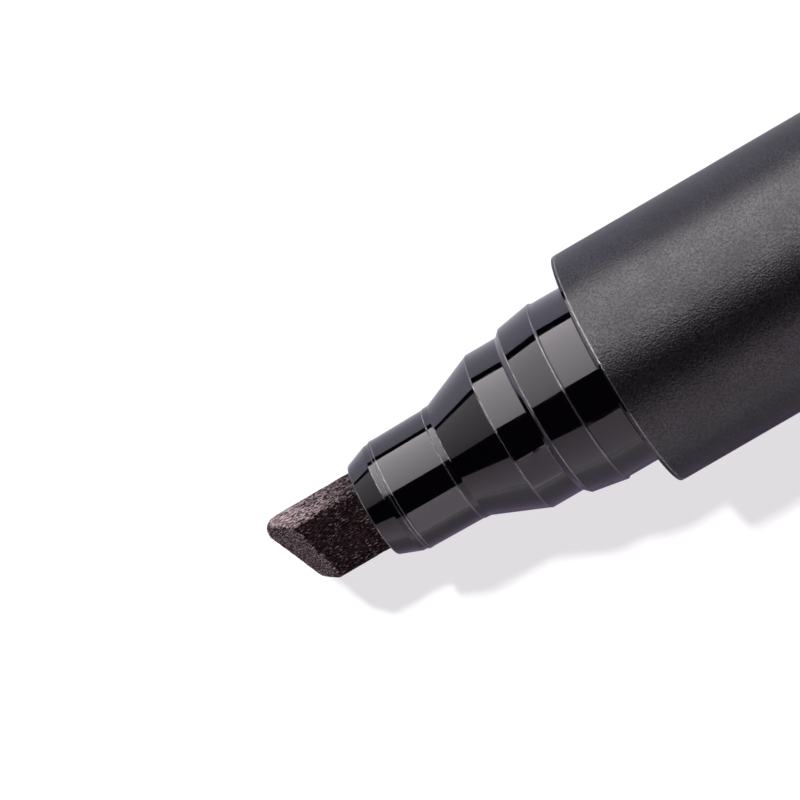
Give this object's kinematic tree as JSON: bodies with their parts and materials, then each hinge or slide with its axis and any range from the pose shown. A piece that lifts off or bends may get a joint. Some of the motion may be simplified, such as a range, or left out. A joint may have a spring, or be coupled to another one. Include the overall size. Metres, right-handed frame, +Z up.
{
  "type": "permanent marker",
  "caption": "Round-barrelled permanent marker with a stepped glossy nib holder, a slanted chisel nib, an ink reservoir inside and a pull-off cap posted on its rear end.",
  "frame": {"origin": "centre of the marker's box, on the surface that it lies on", "axes": "+X along the marker from its nib to its posted cap, +Z up"},
  "size_m": [0.1537, 0.016, 0.016],
  "materials": {
    "textured_black": "fine moulded grain, charcoal black",
    "gloss_black": "polished black",
    "inked_felt": "pressed fibre soaked with dark ink",
    "ink_fibre": "bonded fibre soaked with dark ink",
    "clear_film": "thin clear film",
    "natural_plastic": "uncoloured moulded plastic"
  },
  "bodies": {
    "marker": {"barrel": "textured_black", "nib_holder": "gloss_black", "chisel_nib": "inked_felt", "ink_core": "ink_fibre", "ink_wrap": "clear_film", "vent_tube": "natural_plastic", "end_plug": "gloss_black"},
    "cap": {"cap_shell": "textured_black", "seal_cup": "natural_plastic"}
  },
  "joints": [
    {"name": "cap_slide", "type": "slide", "parent": "marker", "child": "cap", "axis": [1, 0, 0], "range_m": [0, 0.03]}
  ]
}
